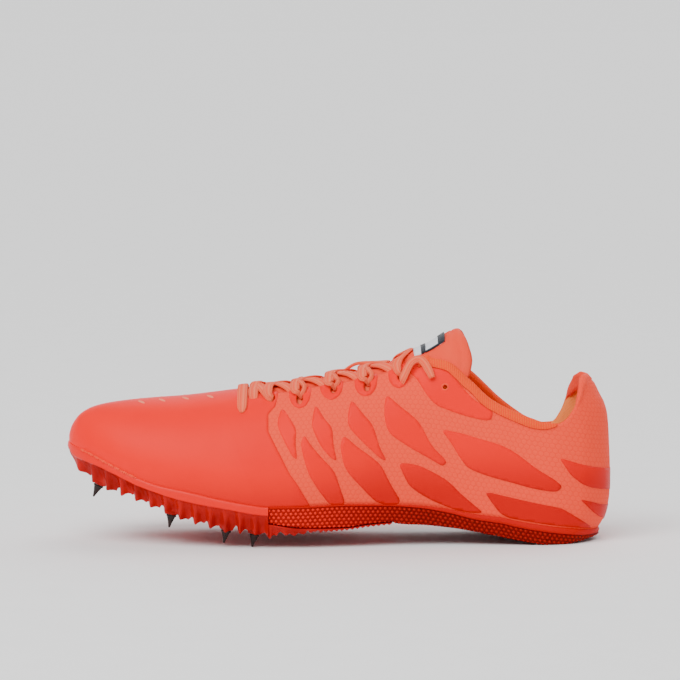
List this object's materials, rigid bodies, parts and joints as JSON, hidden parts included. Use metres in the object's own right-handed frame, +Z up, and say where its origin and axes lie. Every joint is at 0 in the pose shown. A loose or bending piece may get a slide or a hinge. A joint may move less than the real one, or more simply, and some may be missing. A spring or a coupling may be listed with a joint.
{
  "type": "track spike shoe",
  "caption": "Low-cut sprint shoe with a thin hollow upper, a raised tongue, crossed flat lace, a foam wedge heel and a lugged spike plate with short pins.",
  "frame": {"origin": "on the floor under the middle of the shoe", "axes": "+X towards the heel, +Y towards the medial side, +Z up"},
  "size_m": [0.2823, 0.0885, 0.1096],
  "materials": {
    "film": "smooth red film over knit mesh",
    "edging": "ribbed orange edging",
    "padding": "coral padded mesh",
    "patch": "pale woven patch",
    "lining": "orange lining cloth",
    "foam": "dark red foam with a dotted texture",
    "plate_plastic": "satin red moulded plate",
    "spike_steel": "blackened steel",
    "lace_cord": "flat coral woven lace"
  },
  "bodies": {
    "root": {"upper": "film", "collar_binding_lateral": "edging", "collar_binding_medial": "edging", "tongue": "padding", "tongue_label": "patch", "insole": "lining", "midsole": "foam", "spike_plate": "plate_plastic", "spike_lateral_1": "spike_steel", "spike_lateral_2": "spike_steel", "spike_lateral_3": "spike_steel", "spike_lateral_4": "spike_steel", "spike_medial_1": "spike_steel", "spike_medial_2": "spike_steel", "spike_medial_3": "spike_steel", "spike_medial_4": "spike_steel", "lace_crossings": "lace_cord", "lace_end": "lace_cord"}
  },
  "joints": []
}
